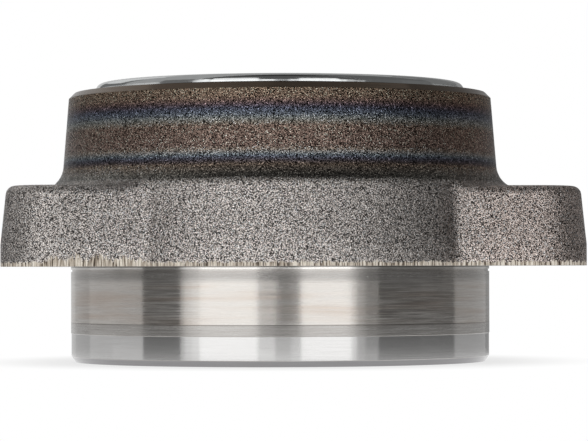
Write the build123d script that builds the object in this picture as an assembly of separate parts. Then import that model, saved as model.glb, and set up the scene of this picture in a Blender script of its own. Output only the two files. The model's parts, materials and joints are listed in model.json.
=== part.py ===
from build123d import *
from math import cos, radians, sin, tan
import os

# A flanged double-row wheel hub bearing, in millimetres. The bearing axis is Z, and +Z points outboard, to
# the wheel. The origin lies on the axis, in the flange face that seats on the knuckle.

# Outer ring: pilot
pilot_diameter = 92.0
pilot_length = 20.8
lead_zone_height = 6.2           # ground zone at the pilot's end
lead_zone_step = 0.1             # radial step down to that zone
pilot_end_chamfer = 0.9          # radial size of the lead-in
pilot_end_chamfer_height = 1.3
undercut_drop = 0.6              # from the flange face to the undercut
undercut_width = 0.5
undercut_depth = 0.25

# Outer ring: flange
flange_thickness = 16.9
flange_base_radius = 51.2        # between the lobes
lobe_count = 3
first_lobe_direction = 90.0      # degrees from +X
bolt_circle_diameter = 117.0
lobe_tip_radius = 11.5           # round each bolt hole
lobe_taper = 25.5                # degrees between a lobe's flank and its centre line
lobe_root_fillet = 3.0
land_height = 4.6                # upright edge below the draft
forging_draft = 6.0              # degrees, above the land
flange_edge_fillet = 2.0
thread_diameter = 12.0
thread_pitch = 1.5
thread_mouth_chamfer = 0.9

# Outer ring: body
body_height = 21.1               # above the flange
body_top_diameter = 92.7
body_draft = 4.6                 # degrees
body_foot_fillet = 5.3
body_top_chamfer = 1.2

# Rows of balls, mounted back to back
ball_diameter = 12.7
balls_per_row = 13
contact_angle = 36.0             # degrees
outboard_row_gap = 0.35          # between the balls and the seal case
inboard_row_gap = 0.95
groove_relief = 0.25             # raceway radius beyond the ball's
ball_gap = 0.03                  # between a ball and its raceway
high_shoulder_angle = 62.0       # degrees round the ball, from the radial line
low_shoulder_angle = 22.0

# Inner rings and the clip that holds them together
bore_diameter = 45.0
raceway_wall = 3.65              # from the bore to the balls
inner_proud = 2.16               # of the outer ring's outboard end
inner_recess = 0.3               # from the outer ring's inboard end
bore_chamfer = 1.6
clip_thickness = 0.8
clip_width = 11.0
clip_hook = 0.6                  # its edges turn outward by this much
clip_gap = 0.06                  # round the clip in its groove
clip_split = 9.0                 # degrees

# Cages
pocket_gap = 0.12                # round a ball in its pocket
cage_width = 4.4                 # radial
cage_back = 2.0                  # thickness of the back behind the balls
claw_reach = 2.6                 # beyond the balls' centres
claw_notch = 1.3                 # between two claws
claw_notch_foot = 0.6            # from the balls' centres

# Seals
seal_seat_step = 0.1             # out from the raceway's low shoulder
seal_seat_chamfer = 0.4
seal_case_inset = 0.5            # from the outer ring's end
seal_case_height = 4.4
seal_case_thickness = 0.8
seal_case_bend = 1.2
seal_leg_share = 0.42            # of the room between the flinger's sleeve and the seat
rubber_thickness = 1.0
lip_thickness = 0.5
lip_gap = 0.06                   # grease film under a lip
flinger_thickness = 0.7
flinger_bend = 1.4
rim_overhang = 2.0               # of the outboard flinger's turned-down rim, beyond the seal seat
rim_gap = 0.4                    # above the outer ring's end
disc_gap = 0.6                   # round the inboard flinger's disc
encoder_thickness = 0.9
encoder_inset = 1.7              # from the inner ring's shoulder to the encoder

# Sizes that follow
near = 0.01                      # edges this close to a place lie at it
top = flange_thickness + body_height
bottom = -pilot_length
pilot_radius = pilot_diameter / 2
body_top_radius = body_top_diameter / 2
bolt_circle_radius = bolt_circle_diameter / 2
tapped_radius = (thread_diameter - thread_pitch) / 2
thread_mouth_radius = tapped_radius + thread_mouth_chamfer
lobe_directions = [first_lobe_direction + index * 360 / lobe_count for index in range(lobe_count)]
ball_radius = ball_diameter / 2
bore_radius = bore_diameter / 2
pitch_radius = bore_radius + raceway_wall + ball_radius
groove_radius = ball_radius + groove_relief
outer_high_radius = pitch_radius + ball_radius * cos(radians(high_shoulder_angle))
outer_low_radius = pitch_radius + ball_radius * cos(radians(low_shoulder_angle))
inner_high_radius = pitch_radius - ball_radius * cos(radians(high_shoulder_angle))
inner_low_radius = pitch_radius - ball_radius * cos(radians(low_shoulder_angle))
seat_radius = outer_low_radius + seal_seat_step
inner_top = top + inner_proud
inner_bottom = bottom + inner_recess
sleeve_radius = inner_high_radius + flinger_thickness
throat_radius = seat_radius - seal_leg_share * (seat_radius - sleeve_radius)
rim_radius = seat_radius + rim_overhang
disc_radius = seat_radius - seal_case_thickness - disc_gap
encoder_top = inner_bottom + encoder_thickness
encoder_radius = inner_high_radius + encoder_inset
case_depth = seal_case_inset + seal_case_height
case_leg_depth = case_depth - seal_case_thickness
outboard_row = top - case_depth - outboard_row_gap - ball_radius
inboard_row = bottom + case_depth + inboard_row_gap + ball_radius
rows_middle = (outboard_row + inboard_row) / 2


def profile(*corners):
    """The face of a polygon of (radius, height) corners in the XZ plane."""
    return make_face(Polyline(*[(radius, 0, height) for radius, height in corners], close=True))


def rounded(face, corner, radius):
    """A profile with its corner at (radius, height) rounded."""
    return fillet(face.vertices().sort_by_distance((corner[0], 0, corner[1]))[0], radius)


def spun(face):
    """The solid that a profile makes round the bearing axis."""
    return revolve(face, Axis.Z)


def from_end(end, inward, corners):
    """(radius, depth) corners, counted from one end of the outer ring, as (radius, height) corners."""
    return [(radius, end + inward * depth) for radius, depth in corners]


def groove(row, radial, axial):
    """The round profile that cuts a raceway; the signs point from the ball to its contact."""
    shift = groove_radius - ball_radius - ball_gap
    radius = pitch_radius - radial * shift * cos(radians(contact_angle))
    height = row - axial * shift * sin(radians(contact_angle))
    return Pos(radius, 0, height) * Rot(90, 0, 0) * Circle(groove_radius)


# Outer ring

def flange_outline(inward):
    """The flange's plan, drawn in by a distance from its lower edge."""
    base_radius = flange_base_radius - inward
    tip_radius = lobe_tip_radius - inward
    taper = radians(lobe_taper)
    tip_reach = bolt_circle_radius + tip_radius * sin(taper)
    tip_half_width = tip_radius * cos(taper)
    root_reach = base_radius / 2
    root_half_width = tip_half_width + (tip_reach - root_reach) * tan(taper)
    outline = Circle(base_radius)
    for direction in lobe_directions:
        wedge = make_face(Polyline(
            (tip_reach, tip_half_width), (tip_reach, -tip_half_width),
            (root_reach, -root_half_width), (root_reach, root_half_width), close=True))
        outline += Rot(0, 0, direction) * (wedge + Pos(bolt_circle_radius, 0) * Circle(tip_radius))
    roots = [corner for corner in outline.vertices() if abs(Vector(corner).length - base_radius) < near]
    return fillet(roots, lobe_root_fillet + inward)


def flange_blank(height):
    """The flange up to a height: an upright land with drafted sides above it."""
    inward = (height - land_height) * tan(radians(forging_draft))
    lower = Pos(0, 0, land_height) * flange_outline(0)
    upper = Pos(0, 0, height) * flange_outline(inward)
    return extrude(flange_outline(0), land_height) + loft([lower, upper], ruled=True)


def forging():
    """The flange and the body, joined by the body's flared foot, with the flange's upper edge rounded."""
    slope = tan(radians(body_draft))
    foot_radius = body_top_radius + body_height * slope
    foot_reach = foot_radius + body_foot_fillet / tan(radians(90 + body_draft) / 2)
    shoulder_radius = body_top_radius + body_top_chamfer * slope
    beyond = bolt_circle_radius + 2 * lobe_tip_radius
    outline = profile(
        (0, 0), (beyond, 0), (beyond, flange_thickness), (foot_radius, flange_thickness),
        (shoulder_radius, top - body_top_chamfer), (shoulder_radius - body_top_chamfer, top), (0, top))
    body = spun(rounded(outline, (foot_radius, flange_thickness), body_foot_fillet))
    flange_height = flange_thickness + body_foot_fillet
    core = Pos(0, 0, flange_height) * extrude(Circle(foot_radius), body_height)
    blank = Rot(0, 0, first_lobe_direction) * body & (flange_blank(flange_height) + core)
    upper = blank.edges().filter_by_position(
        Axis.Z, flange_thickness - near, flange_thickness + body_foot_fillet / 2)
    circles = upper.filter_by(GeomType.CIRCLE)
    foot = [circle for circle in circles if abs(circle.radius - foot_reach) < near]
    return fillet([edge for edge in upper if edge not in foot], flange_edge_fillet)


def pilot():
    """The turned pilot, with an undercut below the flange, a ground lead zone and a lead-in."""
    lead_radius = pilot_radius - lead_zone_step
    lead_top = bottom + lead_zone_height
    undercut_radius = pilot_radius - undercut_depth
    undercut_low = -undercut_drop - undercut_width
    return spun(profile(
        (0, bottom), (lead_radius - pilot_end_chamfer, bottom),
        (lead_radius, bottom + pilot_end_chamfer_height), (lead_radius, lead_top),
        (pilot_radius, lead_top + lead_zone_step), (pilot_radius, undercut_low),
        (undercut_radius, undercut_low), (undercut_radius, -undercut_drop),
        (pilot_radius, -undercut_drop), (pilot_radius, 0), (0, 0)))


def tapped_hole():
    """What a bolt hole removes, at its thread's core, with a chamfer at each mouth."""
    chamfer_top = flange_thickness - thread_mouth_chamfer
    return spun(profile(
        (0, 0), (thread_mouth_radius, 0), (tapped_radius, thread_mouth_chamfer),
        (tapped_radius, chamfer_top), (thread_mouth_radius, flange_thickness), (0, flange_thickness)))


def outer_ring():
    """The one-piece outer ring: flange, body, pilot, both raceways and both seal seats."""
    seat_top = top - case_depth
    seat_bottom = bottom + case_depth
    mouth_radius = seat_radius + seal_seat_chamfer
    cavity = profile(
        (0, bottom), (mouth_radius, bottom), (seat_radius, bottom + seal_seat_chamfer),
        (seat_radius, seat_bottom), (outer_low_radius, seat_bottom), (outer_low_radius, inboard_row),
        (outer_high_radius, inboard_row), (outer_high_radius, outboard_row),
        (outer_low_radius, outboard_row), (outer_low_radius, seat_top), (seat_radius, seat_top),
        (seat_radius, top - seal_seat_chamfer), (mouth_radius, top), (0, top))
    cavity += groove(outboard_row, 1, -1) + groove(inboard_row, 1, 1)
    body = forging() + pilot() - spun(cavity)
    for direction in lobe_directions:
        body -= Rot(0, 0, direction) * Pos(bolt_circle_radius, 0, 0) * tapped_hole()
    return body


# Inner rings

def clip_room():
    """What the clip's groove removes from the two inner rings."""
    half = clip_width / 2 + clip_gap
    hook_start = clip_width / 2 - clip_thickness - clip_gap
    floor = bore_radius + clip_thickness + 2 * clip_gap
    hook_floor = floor + clip_hook
    corners = [(0, -half), (hook_floor, -half), (hook_floor, -hook_start), (floor, -hook_start),
               (floor, hook_start), (hook_floor, hook_start), (hook_floor, half), (0, half)]
    return profile(*[(radius, rows_middle + height) for radius, height in corners])


def inner_ring(row, end, outward):
    """One inner ring, from the middle to its end, with its raceway's high shoulder at the end."""
    section = profile(
        (bore_radius, rows_middle), (inner_low_radius, rows_middle), (inner_low_radius, row),
        (inner_high_radius, row), (inner_high_radius, end), (bore_radius + bore_chamfer, end),
        (bore_radius, end - outward * bore_chamfer))
    return spun(section - groove(row, -1, outward) - clip_room())


def clip():
    """The split sheet ring whose hooked edges hold the two inner rings together."""
    half = clip_width / 2
    inner = bore_radius + clip_gap
    outer = inner + clip_thickness
    hook = outer + clip_hook
    step = half - clip_thickness
    corners = [(inner, -half), (hook, -half), (hook, -step), (outer, -step),
               (outer, step), (hook, step), (hook, half), (inner, half)]
    section = profile(*[(radius, rows_middle + height) for radius, height in corners])
    return Rot(0, 0, first_lobe_direction + clip_split / 2) * revolve(section, Axis.Z, 360 - clip_split)


# Balls and cages

def row_direction(index):
    """The direction of a ball, or of the gap after it where half is added, from the first lobe on."""
    return Rot(0, 0, first_lobe_direction + index * 360 / balls_per_row)


def ball(row, index):
    """One ball of a row."""
    return row_direction(index) * Pos(pitch_radius, 0, row) * Sphere(ball_radius)


def cage(row, outward):
    """A snap cage: its back faces the middle of the bearing, and its claws reach past the balls."""
    inner = pitch_radius - cage_width / 2
    outer = pitch_radius + cage_width / 2
    pocket_radius = ball_radius + pocket_gap
    back = row - outward * (pocket_radius + cage_back)
    claw_tip = row + outward * claw_reach
    notch_middle = row + outward * (claw_notch_foot + claw_reach / 2)
    notch = Pos(pitch_radius, 0, notch_middle) * Box(2 * cage_width, claw_notch, claw_reach)
    body = spun(profile((inner, back), (outer, back), (outer, claw_tip), (inner, claw_tip)))
    for index in range(balls_per_row):
        body -= row_direction(index) * Pos(pitch_radius, 0, row) * Sphere(pocket_radius)
        body -= row_direction(index + 0.5) * notch
    return body


# Seals

def seal_case(end, inward):
    """The pressed sheet case: a cylinder in the outer ring's seat and a leg that points to the axis."""
    inner = seat_radius - seal_case_thickness
    corners = from_end(end, inward, [
        (seat_radius, seal_case_inset), (seat_radius, case_depth), (throat_radius, case_depth),
        (throat_radius, case_leg_depth), (inner, case_leg_depth), (inner, seal_case_inset)])
    section = rounded(profile(*corners), corners[1], seal_case_bend)
    return spun(rounded(section, corners[4], seal_case_bend - seal_case_thickness))


def seal_rubber(end, inward, disc_depth):
    """The rubber moulded on a case's leg, with a lip to the flinger's sleeve and a lip to its disc."""
    base = case_leg_depth - rubber_thickness
    root = case_leg_depth - rubber_thickness / 2
    bulb = throat_radius - rubber_thickness
    rim = seat_radius - seal_case_bend
    sleeve_lip = sleeve_radius + lip_gap
    disc_lip = disc_depth + lip_gap
    tip = (throat_radius + rim) / 2
    section = profile(*from_end(end, inward, [
        (bulb, base), (rim, base), (rim, case_leg_depth), (throat_radius, case_leg_depth),
        (throat_radius, case_depth), (bulb, case_depth)]))
    section += profile(*from_end(end, inward, [
        (sleeve_lip, base), (throat_radius, case_leg_depth), (throat_radius, case_depth),
        (sleeve_lip, base + lip_thickness)]))
    section += profile(*from_end(end, inward, [
        (throat_radius, root), (tip, disc_lip), (tip + lip_thickness, disc_lip),
        (throat_radius + 2 * lip_thickness, root)]))
    return spun(section)


def outboard_flinger():
    """The bright outboard flinger: a sleeve on the inner ring and a disc with a rim turned down."""
    under = inner_top - flinger_thickness
    rim_inner = rim_radius - flinger_thickness
    sleeve_low = top - case_depth + lip_thickness
    section = profile(
        (inner_high_radius, sleeve_low), (sleeve_radius, sleeve_low), (sleeve_radius, under),
        (rim_inner, under), (rim_inner, top + rim_gap), (rim_radius, top + rim_gap),
        (rim_radius, inner_top), (inner_high_radius, inner_top))
    section = rounded(section, (rim_radius, inner_top), flinger_bend)
    return spun(rounded(section, (rim_inner, under), flinger_bend - flinger_thickness))


def inboard_flinger():
    """The inboard flinger: a sleeve on the inner ring and a disc inside the seal case."""
    disc_top = encoder_top + flinger_thickness
    sleeve_top = bottom + case_depth - lip_thickness
    return spun(profile(
        (inner_high_radius, encoder_top), (disc_radius, encoder_top), (disc_radius, disc_top),
        (sleeve_radius, disc_top), (sleeve_radius, sleeve_top), (inner_high_radius, sleeve_top)))


def encoder_ring():
    """The magnetised rubber ring on the inboard flinger's face."""
    return spun(profile(
        (encoder_radius, inner_bottom), (disc_radius, inner_bottom),
        (disc_radius, encoder_top), (encoder_radius, encoder_top)))


nodes = {
    "outer_ring": outer_ring(),
    "outboard_inner_ring": inner_ring(outboard_row, inner_top, 1),
    "inboard_inner_ring": inner_ring(inboard_row, inner_bottom, -1),
    "inner_ring_clip": clip(),
    "outboard_cage": cage(outboard_row, 1),
    "inboard_cage": cage(inboard_row, -1),
    "outboard_seal_case": seal_case(top, -1),
    "inboard_seal_case": seal_case(bottom, 1),
    "outboard_seal_rubber": seal_rubber(top, -1, flinger_thickness - inner_proud),
    "inboard_seal_rubber": seal_rubber(bottom, 1, inner_recess + encoder_thickness + flinger_thickness),
    "outboard_flinger": outboard_flinger(),
    "inboard_flinger": inboard_flinger(),
    "encoder_ring": encoder_ring(),
}
for index in range(balls_per_row):
    nodes[f"outboard_ball_{index + 1:02d}"] = ball(outboard_row, index)
    nodes[f"inboard_ball_{index + 1:02d}"] = ball(inboard_row, index)

os.makedirs("parts", exist_ok=True)
for name, solid in nodes.items():
    export_step(solid, f"parts/{name}.step")
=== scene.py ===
"""The looks of the wheel hub bearing: finishes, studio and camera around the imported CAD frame."""

import json
from math import atan, cos, pi, radians, sin, tan

import bpy
from mathutils import Matrix, Vector


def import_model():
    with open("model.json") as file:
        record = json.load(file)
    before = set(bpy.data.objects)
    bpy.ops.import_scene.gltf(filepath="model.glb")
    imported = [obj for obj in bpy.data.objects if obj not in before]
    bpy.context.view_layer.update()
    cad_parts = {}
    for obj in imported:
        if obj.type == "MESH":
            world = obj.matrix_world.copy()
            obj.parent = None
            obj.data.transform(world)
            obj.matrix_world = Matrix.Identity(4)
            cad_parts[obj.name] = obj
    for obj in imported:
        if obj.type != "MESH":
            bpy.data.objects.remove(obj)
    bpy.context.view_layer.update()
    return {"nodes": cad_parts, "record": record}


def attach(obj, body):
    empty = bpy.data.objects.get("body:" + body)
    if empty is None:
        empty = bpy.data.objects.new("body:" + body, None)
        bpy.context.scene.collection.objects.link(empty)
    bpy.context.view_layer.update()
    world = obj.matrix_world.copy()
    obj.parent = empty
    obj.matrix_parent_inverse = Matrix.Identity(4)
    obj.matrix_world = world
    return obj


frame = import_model()

MM = 0.001

# The outer ring as the CAD has it, in millimetres; heights are above the flange's seat
CHAMFER_FOOT = 36.8              # foot of the body's top chamfer
FILLET_TOP = 21.2                # of the fillet at the body's foot
FILLET_FOOT = 18.2
SEAT_FACE = 0.0
UNDERCUT_FOOT = -0.22            # of the groove between the seat and the pilot
CORNER_FOOT = -0.62              # of the corner below the groove, painted bright as a highlight
STEP_LINE = -12.2                # fine step round the pilot
LEAD_ZONE = -14.6                # top of the ground zone at the pilot's end
LEAD_IN = -19.5                  # top of the chamfer at the pilot's end
BOTTOM = -20.8
CAVITY_RADIUS = 42.0             # all that lies inside it is turned
BOLT_RADIUS = 58.5
LOBES = (90, 210, 330)           # degrees round Z

# The thread in the tapped holes, in millimetres
THREAD_CORE = 5.25               # radius of the CAD's plain hole
THREAD_ROOT = THREAD_CORE + 0.02
THREAD_CREST = 5.0
THREAD_PITCH = 1.5
THREAD_HALF_WIDTH = 0.5
THREAD_BOTTOM = 0.9
THREAD_TOP = 16.0
THREAD_STEPS = 36                # to a turn

# Marks on single places of the outer ring, X and Y in millimetres
ROSY_LOBE = (50.7, -29.3)        # where the skin is a little redder
TORN_LOBE = (-43.0, -40.0)       # where the sheared edge is torn highest
DARK_REFLECTION = (-3.7, -45.9)           # painted reflection: a dark streaky patch on the pilot where it faces the camera

# The camera, in millimetres and radians: level with the flange, a little to the right of the axis
VIEW_DIRECTION = 263             # degrees round Z, from the axis to the camera
CAMERA_DISTANCE = 661.8
CAMERA_SIDE = 3.07
CAMERA_HEIGHT = -1.24
HORIZON_DROP = 51.5              # pixels from the picture's middle down to the horizon
FOCAL_LENGTH = 3000              # pixels
CAMERA_PITCH = atan(HORIZON_DROP / FOCAL_LENGTH)
CAMERA_ROLL = radians(0.15)
LENS = 183.7
SENSOR = 36

# The studio: metres from the origin, angles in degrees, light as a share of white
CARD_RADIUS = 1.3
OUTER_CARD_RADIUS = 1.36
CARD_STEP = 6
SOFTBOX_RADIUS = 0.9
WORLD_LEVEL = 0.7
FLOOR_RADIUS = 0.075
FLOOR_GAP = 0.05                 # millimetres under the pilot
FLOOR_PAINT = 0.85
FLOOR_WHITE = 0.97               # how much of the floor is plain white where a mirror shows it
FLOOR_SHADED = 0.7               # the same for the camera, near the part, to keep the shadow there
FLOOR_CLEAR_FROM = 0.6           # of the floor's radius: from here on the shadow gives way to white


def tone(red, green, blue):
    """A colour as it is seen on a screen, 0 to 255, in Blender's linear values."""
    def linear(value):
        value /= 255
        return value / 12.92 if value <= 0.04045 else ((value + 0.055) / 1.055) ** 2.4
    return (linear(red), linear(green), linear(blue), 1.0)


def grey(value):
    """A linear grey."""
    return (value, value, value, 1.0)


def hole_centre(lobe):
    """X and Y of the hole in the lobe that points to these degrees round Z."""
    return BOLT_RADIUS * cos(radians(lobe)), BOLT_RADIUS * sin(radians(lobe))


def new_material(name):
    """An empty material that uses nodes."""
    material = bpy.data.materials.new(name)
    material.use_nodes = True
    return material


def new_object(name, data):
    """An object in the scene with this data."""
    obj = bpy.data.objects.new(name, data)
    bpy.context.scene.collection.objects.link(obj)
    return obj


def new_mesh(name, vertices, faces, material):
    """A mesh object in the scene with one material."""
    mesh = bpy.data.meshes.new(name)
    mesh.from_pydata(vertices, [], faces)
    obj = new_object(name, mesh)
    obj.data.materials.append(material)
    return obj


class Nodes:
    """A node tree that is built by calls which return sockets."""

    def __init__(self, tree):
        self.tree = tree
        tree.nodes.clear()

    def feed(self, node, key, value):
        """Links a socket to a node's input, or sets the input to a plain value."""
        if isinstance(value, bpy.types.NodeSocket):
            self.tree.links.new(value, node.inputs[key])
        else:
            node.inputs[key].default_value = value

    def node(self, kind, inputs=None, **settings):
        """A new node, with inputs by name or number."""
        node = self.tree.nodes.new("ShaderNode" + kind)
        for name, value in settings.items():
            setattr(node, name, value)
        for key, value in (inputs or {}).items():
            self.feed(node, key, value)
        return node

    def math(self, operation, *values):
        """A number from numbers."""
        return self.node("Math", dict(enumerate(values)), operation=operation).outputs[0]

    def vector(self, operation, *values):
        """A vector from vectors, or its length."""
        node = self.node("VectorMath", dict(enumerate(values)), operation=operation)
        return node.outputs["Value" if operation == "LENGTH" else "Vector"]

    def total(self, *values):
        """The sum of the values."""
        result = values[0]
        for value in values[1:]:
            result = self.math("ADD", result, value)
        return result

    def product(self, *values):
        """All the values multiplied together."""
        result = values[0]
        for value in values[1:]:
            result = self.math("MULTIPLY", result, value)
        return result

    def inverse(self, share):
        """What the share leaves of 1."""
        return self.math("SUBTRACT", 1.0, share)

    def average(self, a, b, share):
        """This share of a, and the rest from b."""
        return self.math("MULTIPLY_ADD", a, share, self.math("MULTIPLY", b, 1 - share))

    def fade(self, value, low, high):
        """0 below low and 1 above high, with a smooth step between; low may be the greater."""
        inputs = {"Value": value, "From Min": min(low, high), "From Max": max(low, high)}
        step = self.node("MapRange", inputs, interpolation_type="SMOOTHSTEP").outputs[0]
        return step if low <= high else self.inverse(step)

    def between(self, value, low, high, edge):
        """1 from low to high and 0 outside, with smooth steps that reach edge to both sides."""
        return self.product(self.fade(value, low - edge, low + edge),
                            self.fade(value, high + edge, high - edge))

    def blend(self, factor, a, b):
        """A number from a to b."""
        return self.node("Mix", {0: factor, 2: a, 3: b}, data_type="FLOAT").outputs[0]

    def mix(self, factor, a, b, mode="MIX"):
        """A colour from a to b, or to a with b laid over it in this mode."""
        return self.node("Mix", {0: factor, 6: a, 7: b}, data_type="RGBA", blend_type=mode).outputs[2]

    def shaded(self, colour, shade):
        """The colour times a number."""
        return self.mix(1.0, colour, self.combine(shade, shade, shade), "MULTIPLY")

    def ramp(self, value, stops):
        """A colour by value; stops are (value, colour) in the value's own units."""
        low, high = stops[0][0], stops[-1][0]
        share = self.node("MapRange", {"Value": value, "From Min": low, "From Max": high}).outputs[0]
        node = self.node("ValToRGB", {0: share})
        elements = node.color_ramp.elements
        for index, (place, colour) in enumerate(stops):
            position = (place - low) / (high - low)
            stop = elements[index] if index < 2 else elements.new(position)
            stop.position = position
            stop.color = colour
        return node.outputs[0]

    def noise(self, place, scale, detail=2.0, roughness=0.5, distortion=0.0):
        """Smooth noise, mostly from 0.3 to 0.7."""
        inputs = {"Vector": place, "Scale": scale, "Detail": detail, "Roughness": roughness,
                  "Distortion": distortion}
        return self.node("TexNoise", inputs).outputs[0]

    def cells(self, place, scale):
        """Two random numbers, 0 to 1, for each cell of a pattern like crushed grains."""
        colour = self.node("TexVoronoi", {"Vector": place, "Scale": scale}).outputs["Color"]
        return self.node("SeparateColor", {0: colour}).outputs[:2]

    def combine(self, x, y, z):
        """A vector from three numbers."""
        return self.node("CombineXYZ", {0: x, 1: y, 2: z}).outputs[0]


class Finish(Nodes):
    """A surface: where a point is, in millimetres round the bearing axis, and its shader."""

    def __init__(self, name, metallic, anisotropic=0.0):
        self.material = new_material(name)
        super().__init__(self.material.node_tree)
        self.shader = self.node("BsdfPrincipled", {"Metallic": metallic, "Anisotropic": anisotropic})
        self.node("OutputMaterial", {0: self.shader.outputs[0]})
        self.place = self.vector("MULTIPLY", self.node("TexCoord").outputs["Object"], (1 / MM,) * 3)
        self.x, self.y, self.z = self.node("SeparateXYZ", {0: self.place}).outputs
        self.plan = self.combine(self.x, self.y, 0.0)
        self.radius = self.vector("LENGTH", self.plan)
        if anisotropic:
            self.set("Tangent", self.node("Tangent", direction_type="RADIAL", axis="Z").outputs[0])
            self.set("Anisotropic Rotation", 0.25)

    def set(self, key, value):
        """Feeds an input of the shader."""
        self.feed(self.shader, key, value)

    def relief(self, *layers):
        """Bumps, each a height from 0 to 1 and the millimetres that 1 stands for."""
        normal = None
        for height, depth in layers:
            inputs = {"Height": height, "Distance": depth * MM, "Strength": 1.0}
            if normal is not None:
                inputs["Normal"] = normal
            normal = self.node("Bump", inputs).outputs[0]
        self.set("Normal", normal)

    def reach(self, x, y):
        """Millimetres from the upright line through x and y."""
        return self.vector("LENGTH", self.vector("SUBTRACT", self.plan, (x, y, 0.0)))

    def stretched(self, around, along):
        """A place for streaks: scaled by around in plan and by along in height."""
        return self.vector("MULTIPLY", self.place, (around, around, along))

    def rings(self, scale):
        """Turning marks: fine circles round the axis, on flat and on round faces."""
        drift = self.math("MULTIPLY", self.noise(self.place, 0.05), 0.6)
        out, up = self.math("ADD", self.radius, drift), self.math("ADD", self.z, drift)
        return self.noise(self.combine(out, up, 0.0), scale, detail=3.0, roughness=0.6)


# The outer ring: forged skin, sheared edge and turned faces on one piece

def skin_zone(f, outside):
    """1 on the forged skin, and 0 on what is turned, ground or drilled."""
    height = f.between(f.z, SEAT_FACE + 0.02, CHAMFER_FOOT - 0.05, 0.02)
    first, second, third = (f.reach(*hole_centre(lobe)) for lobe in LOBES)
    nearest = f.math("MINIMUM", f.math("MINIMUM", first, second), third)
    in_hole = f.fade(nearest, THREAD_CORE + 1.0, THREAD_CORE + 0.85)
    return f.product(outside, height, f.inverse(in_hole))


def heat_tint_and_fillet_shade(f):
    """Warm grey, tinted in bands where the raceways were hardened, by height in millimetres, with
    painted shade over the fillet at the body's foot.
    """
    wander = f.math("MULTIPLY", f.math("SUBTRACT", f.noise(f.place, 0.12), 0.5), 0.6)
    # painted shade: the stops from 18.3 to 20.9 mm, over the fillet, are far darker than the skin's own
    # slightly darker tone there; the bands above them are heat tint
    tint = f.ramp(f.math("ADD", f.z, wander), [
        (16.4, tone(191, 184, 179)), (17.8, tone(168, 162, 156)), (18.3, tone(92, 90, 86)),
        (19.0, tone(94, 91, 86)), (19.9, tone(104, 97, 90)), (20.9, tone(104, 92, 82)),
        (21.6, tone(80, 73, 75)), (22.2, tone(78, 78, 88)), (22.6, tone(92, 97, 107)),
        (23.0, tone(113, 121, 127)), (23.5, tone(142, 140, 138)), (24.0, tone(144, 131, 120)),
        (24.8, tone(128, 109, 101)), (28.9, tone(128, 109, 99)), (29.6, tone(138, 130, 120)),
        (30.5, tone(128, 132, 130)), (31.2, tone(104, 110, 119)), (31.8, tone(92, 98, 110)),
        (32.5, tone(78, 80, 93)), (33.3, tone(88, 77, 82)), (34.2, tone(110, 92, 85)),
        (34.9, tone(128, 109, 96)), (36.8, tone(134, 116, 100))])
    rosy = f.fade(f.reach(*ROSY_LOBE), 27.0, 12.0)
    return f.mix(f.math("MULTIPLY", rosy, 0.9), tint, (1.04, 0.95, 0.92, 1.0), "MULTIPLY")


def blasted_skin(f):
    """The forged and shot-blasted skin: its colour, its soft grain and its crushed flecks, with painted
    shade in creases and painted light on the sides of the fillet at its foot.
    """
    patches = f.noise(f.place, 0.35, detail=4.0)
    grain = f.noise(f.place, 4.2, detail=1.0, roughness=0.6, distortion=0.4)
    crushed, lit = f.cells(f.place, 7.0)
    flecks = f.fade(f.average(crushed, grain, 0.75), 0.465, 0.555)
    glints = f.math("MULTIPLY", f.fade(lit, 0.9, 0.94), 5.0)
    # painted shade: the colour is darker in creases, fillets and under overhangs, by ambient occlusion
    occlusion = f.node("AmbientOcclusion", {"Distance": 7 * MM}, samples=8, only_local=True)
    painted_shade_openness = f.fade(occlusion.outputs["AO"], 0.5, 0.95)
    # painted light: the fillet at the body's foot is made up to twice as light towards +X and -X, its
    # sides as the camera sees them
    painted_side_light = f.product(f.fade(f.math("ABSOLUTE", f.x), 18.0, 42.0),
                     f.between(f.z, FILLET_FOOT, FILLET_TOP, 0.5))
    shade = f.product(f.math("ADD", f.blend(flecks, 0.08, 1.81), glints),
                      f.blend(patches, 0.9, 1.1),
                      f.blend(painted_shade_openness, 0.45, 1.0),
                      f.blend(painted_side_light, 1.0, 2.0))
    return f.shaded(heat_tint_and_fillet_shade(f), shade), grain, flecks


def sheared_edge(f):
    """The flange's sheared foot: 1 on its slivers, which reach high on one lobe, and their colour, with
    painted shadow between the slivers.
    """
    slivers = f.noise(f.plan, 1.5, detail=2.0, roughness=0.7)
    strokes = f.noise(f.plan, 3.2, detail=1.0)
    waves = f.math("MULTIPLY_ADD", f.noise(f.plan, 0.16), 3.0, f.math("MULTIPLY", f.x, 0.6))
    fans = f.math("ABSOLUTE", f.math("SINE", waves))
    torn = f.fade(f.reach(*TORN_LOBE), 12.0, 8.0)
    ragged = f.fade(strokes, 0.38, 0.62)
    lip = f.total(0.55, f.math("MULTIPLY", f.fade(slivers, 0.4, 0.75), 0.6),
                  f.math("MULTIPLY", ragged, 0.25),
                  f.product(torn, f.blend(fans, 0.3, 1.7), f.blend(ragged, 0.45, 1.0)))
    under_lip = f.fade(f.math("SUBTRACT", f.z, lip), 0.12, -0.12)

    # the bright strokes are the sheared metal's own colour; the dark end of the ramp is painted shadow
    # between the slivers
    ticks = f.noise(f.stretched(3.0, 0.25), 1.0, detail=1.0)
    colour = f.ramp(ticks, [
        (0.34, tone(72, 60, 48)), (0.42, tone(168, 156, 141)), (0.52, tone(205, 194, 179)),
        (0.62, tone(238, 230, 217))])
    # dark ticks near the foot of the sheared edge
    dark_ticks = f.math("MULTIPLY", f.fade(f.noise(f.plan, 1.6, detail=0.0), 0.7, 0.76),
                   f.fade(f.z, 1.3, 0.9))
    return under_lip, f.mix(dark_ticks, colour, tone(60, 53, 46))


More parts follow.
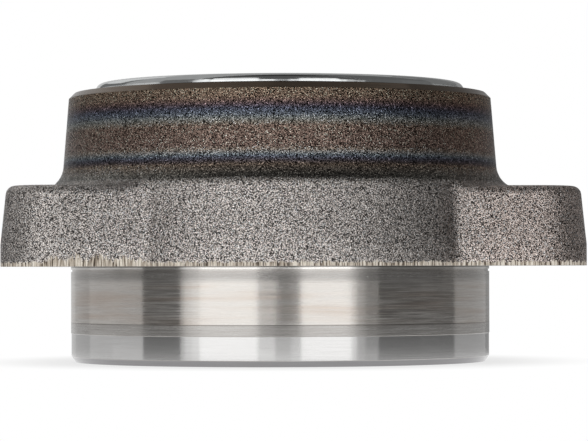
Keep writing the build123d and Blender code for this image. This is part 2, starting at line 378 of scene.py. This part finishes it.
def turned_faces(f, outside):
    """The turned and ground faces: their colour, their roughness and the streaks round the axis, with a
    painted highlight below the groove, painted shadow in it and a painted reflection on the pilot.
    """
    streaks = f.noise(f.stretched(0.09, 3.4), 1.0, detail=4.0, roughness=0.65)
    blush = f.fade(f.noise(f.stretched(0.03, 0.5), 1.0), 0.4, 0.75)
    dull = f.math("MAXIMUM", f.between(f.z, -3.0, -1.0, 0.8),
                  f.between(f.z, LEAD_ZONE, STEP_LINE, 0.1))
    lead = f.between(f.z, LEAD_IN, LEAD_ZONE, 0.02)
    # painted highlight: a bright band round the corner below the groove
    corner = f.between(f.z, CORNER_FOOT, UNDERCUT_FOOT, 0.06)
    # dark lines at the fine step and in the groove under the seat; in the groove the dark is painted
    # shadow under the flange
    lines = f.math("MAXIMUM", f.between(f.z, STEP_LINE - 0.1, STEP_LINE + 0.1, 0.06),
                   f.between(f.z, UNDERCUT_FOOT, SEAT_FACE, 0.04))
    warm = f.math("MULTIPLY", f.between(f.z, STEP_LINE - 0.1, -4.0, 0.7), blush)
    # painted reflection: the pilot is made darker, in streaks, round the spot that faces the camera
    dark_reflection = f.product(f.fade(f.reach(*DARK_REFLECTION), 2.9, 0.9), f.between(f.z, -11.9, -2.6, 0.9),
                       f.blend(f.fade(streaks, 0.4, 0.6), 1.0, 0.55))
    end = f.math("MULTIPLY", f.fade(f.z, LEAD_IN + 0.15, LEAD_IN - 0.25), outside)
    top = f.math("MULTIPLY", f.fade(f.z, CHAMFER_FOOT - 0.4, CHAMFER_FOOT), outside)

    colour = f.ramp(streaks, [
        (0.3, tone(179, 174, 169)), (0.5, tone(202, 198, 193)), (0.7, tone(219, 216, 212))])
    for zone, share, laid_over in (
            (dull, 0.42, tone(150, 149, 148)),
            (lead, 0.8, tone(196, 196, 196)),
            (corner, 0.8, tone(235, 233, 230)),
            (lines, 0.6, tone(96, 92, 88)),
            (warm, 0.35, tone(176, 150, 128)),
            (dark_reflection, 0.45, tone(96, 94, 92)),
            (end, 0.85, tone(130, 130, 133)),
            (top, 1.0, tone(104, 91, 79))):
        colour = f.mix(f.math("MULTIPLY", zone, share), colour, laid_over)

    roughness = f.blend(f.fade(streaks, 0.35, 0.65), 0.14, 0.24)
    roughness = f.blend(f.math("MULTIPLY", dull, 0.6), roughness, 0.3)
    roughness = f.blend(lead, roughness, 0.15)
    return colour, roughness, streaks


def outer_ring_finish():
    """Forged and shot-blasted skin with heat tint and with painted shade and light, and turned or
    ground faces with a painted highlight, shadow and reflection, on one piece.
    """
    f = Finish("outer_ring_steel", metallic=1.0, anisotropic=0.95)
    outside = f.fade(f.radius, CAVITY_RADIUS - 0.2, CAVITY_RADIUS + 0.2)
    skin = skin_zone(f, outside)
    bare = f.inverse(skin)
    skin_colour, grain, flecks = blasted_skin(f)
    under_lip, sheared_colour = sheared_edge(f)
    sheared = f.math("MULTIPLY", skin, under_lip)
    steel, smooth, streaks = turned_faces(f, outside)

    f.set("Base Color", f.mix(skin, steel, f.mix(sheared, skin_colour, sheared_colour)))
    f.set("Roughness", f.blend(skin, smooth, f.blend(sheared, f.blend(flecks, 0.38, 0.25), 0.5)))
    f.set("Metallic", f.blend(sheared, 1.0, 0.2))
    f.set("Specular Tint", f.mix(skin, grey(1.0), grey(0.6)))
    f.relief((f.math("MULTIPLY", grain, skin), 0.16),
             (f.math("MULTIPLY", streaks, bare), 0.004),
             (f.math("MULTIPLY", f.rings(2.2), bare), 0.003))
    return f.material


# The other pieces

def plain_steel(name, colour, roughness, depth=0.004, contrast=0.12):
    """Turned or ground steel with fine circles round the axis."""
    f = Finish(name, metallic=1.0)
    rings = f.rings(2.0)
    fine = f.noise(f.stretched(0.3, 5.0), 1.0, detail=3.0)
    shade = f.blend(f.average(rings, fine, 0.6), 1 - contrast, 1 + contrast)
    f.set("Base Color", f.shaded(colour, shade))
    f.set("Roughness", f.blend(rings, roughness * 0.75, roughness * 1.3))
    f.relief((rings, depth), (fine, depth / 2))
    return f.material


def sheet_finish(name, colour, roughness):
    """Rolled and pressed sheet, with faint dents and handling scratches."""
    f = Finish(name, metallic=1.0)
    haze = f.noise(f.place, 0.5, detail=4.0)
    scratches = f.noise(f.vector("MULTIPLY", f.place, (0.6, 4.0, 4.0)), 1.0, detail=3.0, roughness=0.7)
    dents = f.noise(f.place, 0.22, detail=1.0)
    f.set("Base Color", f.shaded(colour, f.blend(haze, 0.9, 1.08)))
    f.set("Roughness", f.blend(f.average(scratches, haze, 0.5), roughness * 0.6, roughness * 1.5))
    f.relief((dents, 0.004), (scratches, 0.001))
    return f.material


def moulded(name, colour, roughness):
    """Rubber or plastic from a mould, slightly uneven in shade and sheen."""
    f = Finish(name, metallic=0.0)
    clouds = f.noise(f.place, 0.4, detail=4.0)
    fine = f.noise(f.place, 2.5, detail=3.0)
    f.set("Base Color", f.shaded(colour, f.blend(clouds, 0.75, 1.25)))
    f.set("Roughness", f.blend(fine, roughness * 0.85, roughness * 1.15))
    f.relief((fine, 0.02))
    return f.material


finishes = {
    "forged_steel": outer_ring_finish(),
    "bearing_steel": plain_steel("bearing_steel", tone(196, 195, 193), 0.17),
    "ball_steel": plain_steel("ball_steel", tone(214, 214, 214), 0.06, depth=0.0005, contrast=0.03),
    "sheet_steel": sheet_finish("sheet_steel", tone(170, 169, 167), 0.3),
    "stainless_sheet": sheet_finish("stainless_sheet", tone(218, 220, 220), 0.09),
    "seal_rubber": moulded("seal_rubber", tone(38, 37, 36), 0.5),
    "encoder_rubber": moulded("encoder_rubber", tone(58, 52, 48), 0.62),
    "cage_polyamide": moulded("cage_polyamide", tone(196, 186, 152), 0.42),
}
for part in frame["record"]["subparts"]:
    obj = frame["nodes"][part["node"]]
    obj.data.materials.clear()
    obj.data.materials.append(finishes[part["material_slot"]])


def thread(number, lobe):
    """The ridge of one hole's thread: a helix with a sharp crest, its root sunk in the hole's wall."""
    section = ((THREAD_ROOT, -THREAD_HALF_WIDTH), (THREAD_CREST, 0.0), (THREAD_ROOT, THREAD_HALF_WIDTH))
    count = int((THREAD_TOP - THREAD_BOTTOM) / THREAD_PITCH) * THREAD_STEPS
    centre = Vector((*hole_centre(lobe), 0.0))
    vertices = []
    for index in range(count + 1):
        angle = 2 * pi * index / THREAD_STEPS
        height = THREAD_BOTTOM + THREAD_HALF_WIDTH + THREAD_PITCH * index / THREAD_STEPS
        for radius, offset in section:
            ahead = Vector((radius * cos(angle), radius * sin(angle), height + offset))
            vertices.append((centre + ahead) * MM)
    faces = []
    for start in range(0, 3 * count, 3):
        for corner in range(3):
            after = (corner + 1) % 3
            faces.append((start + corner, start + after, start + 3 + after, start + 3 + corner))
    last = 3 * count
    faces += [(2, 1, 0), (last, last + 1, last + 2)]
    obj = new_mesh(f"thread_{number}", vertices, faces, finishes["bearing_steel"])
    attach(obj, "outer")


for number, lobe in enumerate(LOBES, start=1):
    thread(number, lobe)


# The studio

def toward(turn, rise=0.0):
    """A unit vector: turn degrees to the right of the camera as the part sees it, rise degrees up."""
    turn, rise = radians(VIEW_DIRECTION + turn), radians(rise)
    return Vector((cos(turn) * cos(rise), sin(turn) * cos(rise), sin(rise)))


def seen(nodes):
    """1 for what the camera sees, itself, mirrored or through glass, and 0 for plain lighting."""
    path = nodes.node("LightPath").outputs
    in_view = nodes.math("MAXIMUM", path["Is Camera Ray"], path["Is Glossy Ray"])
    return nodes.math("MAXIMUM", in_view, path["Is Transmission Ray"])


def world():
    """White where it is seen, and a plain level of light elsewhere."""
    studio = bpy.data.worlds.new("studio")
    bpy.context.scene.world = studio
    studio.use_nodes = True
    nodes = Nodes(studio.node_tree)
    strength = nodes.blend(seen(nodes), WORLD_LEVEL, 1.0)
    background = nodes.node("Background", {"Color": grey(1.0), "Strength": strength})
    nodes.node("OutputWorld", {0: background.outputs[0]})


def emissive(name, value):
    """A surface that glows in an even grey."""
    material = new_material(name)
    nodes = Nodes(material.node_tree)
    emission = nodes.node("Emission", {"Color": grey(value)})
    nodes.node("OutputMaterial", {0: emission.outputs[0]})
    return material


def card(name, radius, turns, rises, value):
    """A curved studio card round the part, which metal mirrors and the camera doesn't see."""
    steps = max(1, round((turns[1] - turns[0]) / CARD_STEP))
    vertices = []
    for index in range(steps + 1):
        turn = turns[0] + (turns[1] - turns[0]) * index / steps
        vertices += [toward(turn, rise) * radius for rise in rises]
    faces = [(start, start + 2, start + 3, start + 1) for start in range(0, 2 * steps, 2)]
    obj = new_mesh(name, vertices, faces, emissive(name, value))
    obj.visible_camera = False
    obj.visible_diffuse = False
    obj.visible_shadow = False


def softbox(name, turns, rises, radiance):
    """A soft panel lamp that spans these directions and faces the part."""
    middle = toward(sum(turns) / 2, sum(rises) / 2)
    lamp = bpy.data.lights.new(name, "AREA")
    lamp.shape = "RECTANGLE"
    lamp.size = 2 * SOFTBOX_RADIUS * tan(radians(turns[1] - turns[0]) / 2)
    lamp.size_y = 2 * SOFTBOX_RADIUS * tan(radians(rises[1] - rises[0]) / 2)
    lamp.energy = radiance * pi * lamp.size * lamp.size_y
    obj = new_object(name, lamp)
    obj.location = middle * SOFTBOX_RADIUS
    obj.rotation_euler = middle.to_track_quat("Z", "Y").to_euler()


def floor():
    """A white round floor under the pilot, which keeps the part's soft shadow near the part."""
    bpy.ops.mesh.primitive_circle_add(vertices=96, radius=FLOOR_RADIUS, fill_type="NGON",
                                      location=(0, 0, (BOTTOM - FLOOR_GAP) * MM))
    obj = bpy.context.object
    obj.name = "floor"
    material = new_material("floor")
    nodes = Nodes(material.node_tree)
    paint = nodes.node("BsdfDiffuse", {"Color": grey(FLOOR_PAINT)})
    glow = nodes.node("Emission", {"Color": grey(1.0)})
    reach = nodes.vector("LENGTH", nodes.node("TexCoord").outputs["Object"])
    clear = nodes.fade(reach, FLOOR_CLEAR_FROM * FLOOR_RADIUS, FLOOR_RADIUS)
    camera_ray = nodes.node("LightPath").outputs["Is Camera Ray"]
    white = nodes.blend(camera_ray, FLOOR_WHITE, nodes.blend(clear, FLOOR_SHADED, 1.0))
    factor = nodes.math("MULTIPLY", seen(nodes), white)
    mixed = nodes.node("MixShader", {0: factor, 1: paint.outputs[0], 2: glow.outputs[0]})
    nodes.node("OutputMaterial", {0: mixed.outputs[0]})
    obj.data.materials.append(material)


def camera():
    """The photo's view, a hair upward and rolled by a hair, sharp all through."""
    ahead = -toward(0)
    up = Vector((0, 0, 1))
    right = ahead.cross(up)
    look = ahead * cos(CAMERA_PITCH) + up * sin(CAMERA_PITCH)
    level = up * cos(CAMERA_PITCH) - ahead * sin(CAMERA_PITCH)
    side = right * cos(CAMERA_ROLL) - level * sin(CAMERA_ROLL)
    above = level * cos(CAMERA_ROLL) + right * sin(CAMERA_ROLL)
    place = (right * CAMERA_SIDE + up * CAMERA_HEIGHT - ahead * CAMERA_DISTANCE) * MM
    data = bpy.data.cameras.new("camera")
    data.lens = LENS
    data.sensor_width = SENSOR
    data.clip_start = 0.01
    obj = new_object("camera", data)
    obj.matrix_world = Matrix.Translation(place) @ Matrix((side, above, -look)).transposed().to_4x4()
    bpy.context.scene.camera = obj


world()
for name, turns, rises, value in (
        ("behind", (172, 188), (-16, 42), 0.9),
        ("behind_left", (188, 208), (-16, 42), 0.6),
        ("behind_right", (152, 172), (-16, 42), 0.3),
        ("corner_left", (208, 240), (20, 60), 0.75),
        ("corner_right", (116, 152), (16, 60), 0.2),
        ("far_left", (-152, -126), (-16, 6), 0.52),
        ("wide_left", (-126, -102), (-10, 5), 0.67),
        ("left", (-102, -77.8), (-6, 4), 0.73),
        ("dark_left", (-77.8, -53.8), (-40, 40), 0.17),
        ("edge_left", (-53.8, -51.5), (-20, 20), 0.75),
        ("shoulder_left", (-51.5, -47.5), (-24, 24), 1.06),
        ("slope_left", (-47.5, -43), (-24, 24), 1.24),
        ("middle_left", (-11, -2.5), (-6, 6), 1.4),
        ("middle", (-2.5, 6.0), (-0.8, 0.8), 1.25),
        ("middle_right", (6.0, 10.5), (-6, 6), 1.2),
        ("slope_right", (38.5, 41.2), (-16, 16), 1.15),
        ("shoulder_right", (41.2, 46), (-16, 16), 0.62),
        ("edge_right", (46, 53), (-4, 4), 0.44),
        ("dark_right", (53, 80), (-40, 40), 0.14),
        ("dull_right", (80, 108), (-40, 40), 0.16),
        ("far_right", (108, 152), (-16, 5), 0.44)):
    card("card_" + name, CARD_RADIUS, turns, rises, value)
for name, turns, rises, value in (
        ("over_left", (-110, -50), (5, 90), 0.4),
        ("over_low", (-50, 50), (5, 58), 0.1),
        ("over", (-50, 50), (58, 90), 0.04),
        ("over_right", (50, 110), (5, 90), 0.13),
        ("low_behind", (110, 250), (5, 38), 0.17),
        ("over_behind", (110, 250), (38, 90), 0.4),
        ("under", (-150, 150), (-75, -5), 0.06)):
    card("card_" + name, OUTER_CARD_RADIUS, turns, rises, value)
softbox("softbox_left", (-43, -11), (-54, 30), 0.95)
softbox("softbox_right", (10.5, 38.5), (-54, 24), 0.92)
floor()
camera()

bpy.context.scene.view_settings.view_transform = "Standard"
